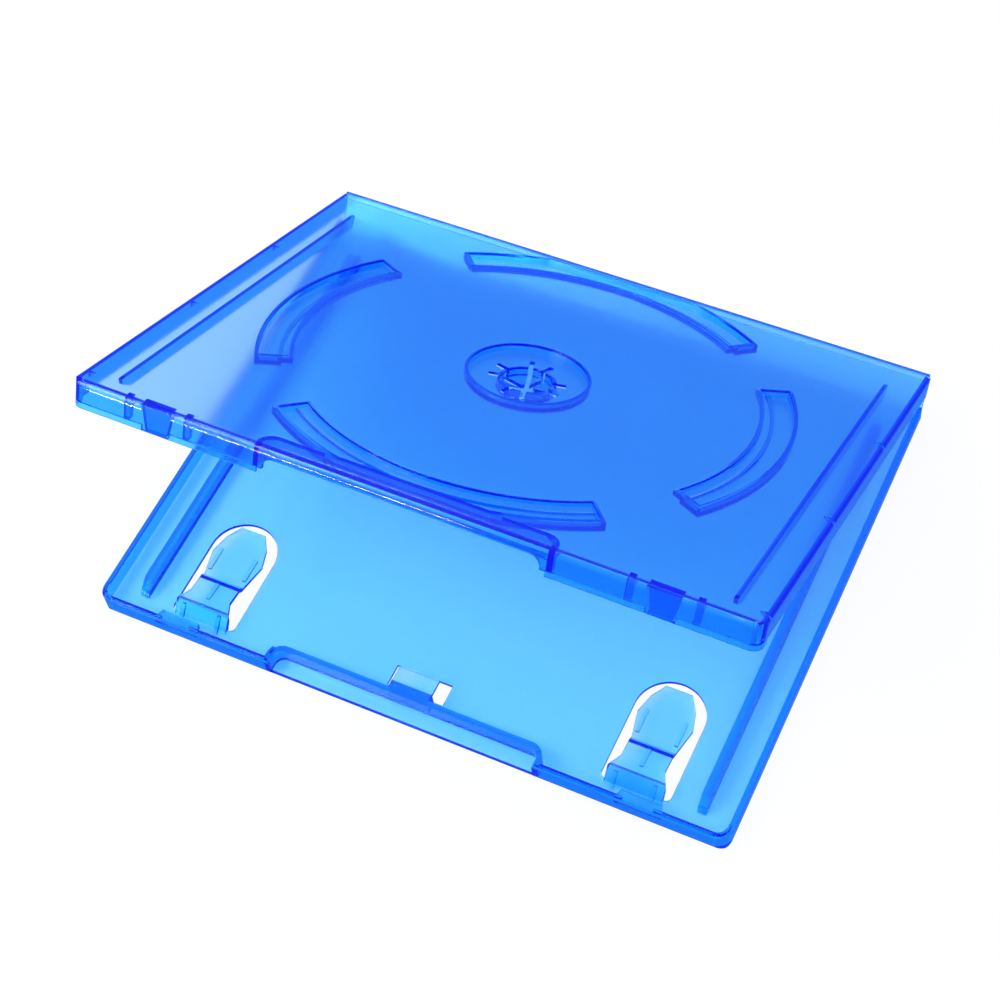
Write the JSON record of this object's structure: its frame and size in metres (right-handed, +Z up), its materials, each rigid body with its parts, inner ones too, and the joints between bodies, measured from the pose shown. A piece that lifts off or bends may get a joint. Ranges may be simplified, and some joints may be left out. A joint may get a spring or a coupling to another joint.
{
  "type": "game disc case",
  "caption": "Hinged keep case of clear blue plastic for one 120 mm game disc, shown part open, with hub, guard ridges and booklet clips.",
  "frame": {"origin": "centre of the front half's outer face, which the case lies on", "axes": "+X along the opening edge, +Y from the opening edge to the spine, +Z up from the face it lies on"},
  "size_m": [0.173, 0.1403, 0.0743],
  "materials": {
    "blue_plastic": "clear blue moulded polypropylene, glossy"
  },
  "bodies": {
    "front_half": {"front_half": "blue_plastic"},
    "spine": {"spine": "blue_plastic"},
    "disc_half": {"disc_half": "blue_plastic"}
  },
  "joints": [
    {"name": "spine_hinge", "type": "hinge", "parent": "front_half", "child": "spine", "pos_m": [0, 0.0675, 0.0005], "axis": [-1, 0, 0], "range_deg": [-23, 67]},
    {"name": "cover_hinge", "type": "hinge", "parent": "spine", "child": "disc_half", "pos_m": [0, 0.07235, 0.01191], "axis": [-1, 0, 0], "range_deg": [-4.5, 85.5]}
  ]
}
